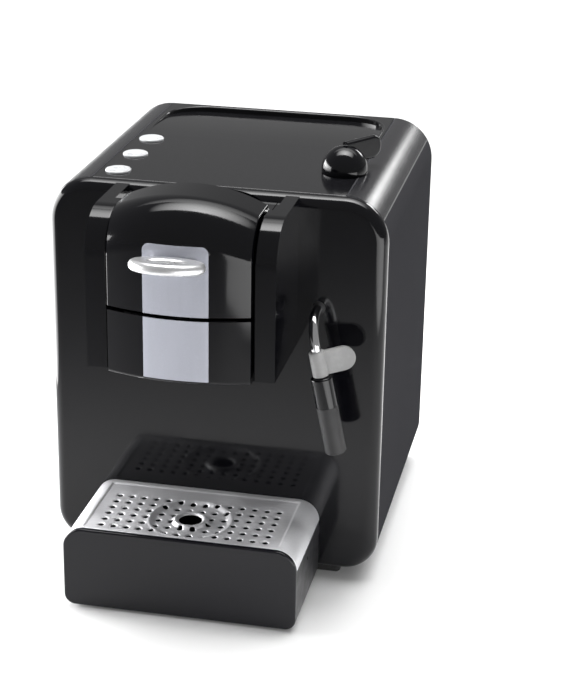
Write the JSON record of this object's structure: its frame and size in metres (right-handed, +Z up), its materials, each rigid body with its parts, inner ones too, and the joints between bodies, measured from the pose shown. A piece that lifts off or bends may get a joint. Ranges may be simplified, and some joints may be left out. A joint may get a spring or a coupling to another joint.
{
  "type": "pod coffee machine",
  "caption": "Boxy capsule espresso machine with an arched lifting door and ring handle, push buttons, steam knob and wand, drip tray and rear water tank.",
  "frame": {"origin": "on the standing surface, under the middle of the whole machine's box, handle included", "axes": "+X to the right as seen from the front, +Y to the back, +Z up"},
  "size_m": [0.25, 0.36, 0.323],
  "materials": {
    "gloss_black": "high gloss black",
    "gloss_black_top": "high gloss black",
    "satin_grey": "satin dark grey paint",
    "matte_black": "moulded, matt",
    "foot_rubber": "matt",
    "zinc_steel": "zinc plated",
    "silver_satin": "satin silver paint",
    "satin_chrome": "satin chrome",
    "seal_rubber": "silicone",
    "tray_black": "moulded, satin",
    "gloss_grey": "glossy dark grey",
    "stainless": "brushed",
    "button_white": "satin light grey",
    "brass": "machined",
    "chrome": "polished",
    "grip_rubber": "light grey silicone",
    "tank_smoke": "clear smoke",
    "brushed_steel": "turned",
    "coil_black": "moulded over the coil",
    "board_green": "solder mask",
    "pipe_white": "hose"
  },
  "bodies": {
    "machine": {"front_panel": "gloss_black", "top_cover": "gloss_black_top", "left_shell": "satin_grey", "right_shell": "satin_grey", "rear_panel": "matte_black", "base_plate": "matte_black", "feet": "foot_rubber", "case_screws": "zinc_steel", "left_cheek": "gloss_black", "right_cheek": "gloss_black", "head_bridge": "gloss_black", "lower_cover": "gloss_black", "lower_trim": "silver_satin", "hinge_pins": "zinc_steel", "brew_frame": "zinc_steel", "capsule_seat": "matte_black", "coffee_spout": "matte_black", "piston_sleeve": "matte_black", "tray_guides": "matte_black", "switch_carrier": "matte_black", "switches": "matte_black", "steam_valve": "brass", "valve_bracket": "zinc_steel", "wand_bush": "matte_black", "wand_joint": "matte_black", "tank_bay": "matte_black", "tank_socket": "seal_rubber", "chassis_left": "zinc_steel", "chassis_right": "zinc_steel", "chassis_shelf": "zinc_steel", "boiler": "brass", "boiler_cap": "brushed_steel", "boiler_bolts": "zinc_steel", "pump_body": "brass", "pump_coil": "coil_black", "pump_supports": "matte_black", "control_board": "board_green", "power_inlet": "matte_black", "pipes": "pipe_white"},
    "door": {"upper_door": "gloss_black", "upper_trim": "silver_satin", "door_handle": "satin_chrome"},
    "piston": {"brew_piston": "satin_chrome", "piston_seal": "seal_rubber"},
    "espresso_button": {"espresso_button": "button_white"},
    "long_button": {"long_button": "button_white"},
    "steam_button": {"steam_button": "button_white"},
    "steam_knob": {"steam_ball": "gloss_black", "steam_lever": "gloss_black", "valve_spindle": "zinc_steel"},
    "wand": {"wand_tube": "chrome", "wand_grip": "grip_rubber", "wand_nozzle": "gloss_black"},
    "frother": {"frother_sleeve": "matte_black"},
    "tray": {"drip_tray": "tray_black", "tray_fascia": "gloss_grey"},
    "grille": {"drip_grille": "stainless"},
    "tank": {"water_tank": "tank_smoke", "tank_lid": "matte_black", "tank_valve": "matte_black"}
  },
  "joints": [
    {"name": "door_hinge", "type": "hinge", "parent": "machine", "child": "door", "pos_m": [-0.005, -0.083, 0.296], "axis": [-1, 0, 0], "range_deg": [0, 75]},
    {"name": "piston_slide", "type": "slide", "parent": "machine", "child": "piston", "axis": [0, 1, 0], "range_m": [0, 0.012]},
    {"name": "espresso_button_press", "type": "slide", "parent": "machine", "child": "espresso_button", "axis": [0, 0, -1], "range_m": [0, 0.002], "stiffness_N_per_m": 400, "springref_m": -0.002},
    {"name": "long_button_press", "type": "slide", "parent": "machine", "child": "long_button", "axis": [0, 0, -1], "range_m": [0, 0.002], "stiffness_N_per_m": 400, "springref_m": -0.002},
    {"name": "steam_button_press", "type": "slide", "parent": "machine", "child": "steam_button", "axis": [0, 0, -1], "range_m": [0, 0.002], "stiffness_N_per_m": 400, "springref_m": -0.002},
    {"name": "knob_turn", "type": "hinge", "parent": "machine", "child": "steam_knob", "pos_m": [0.0815, 0.015, 0.3], "axis": [0, 0, 1], "range_deg": [0, 110]},
    {"name": "wand_swivel", "type": "hinge", "parent": "machine", "child": "wand", "pos_m": [0.0773, -0.053, 0.2183], "axis": [0, 1, 0], "range_deg": [-33, 12]},
    {"name": "frother_pull", "type": "slide", "parent": "wand", "child": "frother", "axis": [0.2079, 0, -0.9781], "range_m": [0, 0.03]},
    {"name": "tray_slide", "type": "slide", "parent": "machine", "child": "tray", "axis": [0, -1, 0], "range_m": [0, 0.09]},
    {"name": "grille_lift", "type": "slide", "parent": "tray", "child": "grille", "axis": [0, 0, 1], "range_m": [0, 0.025]},
    {"name": "tank_slide", "type": "slide", "parent": "machine", "child": "tank", "axis": [0, 1, 0], "range_m": [0, 0.08]}
  ],
  "couplings": [
    {"joint": "piston_slide", "follows": "door_hinge", "m_per_rad": 0.00916}
  ]
}
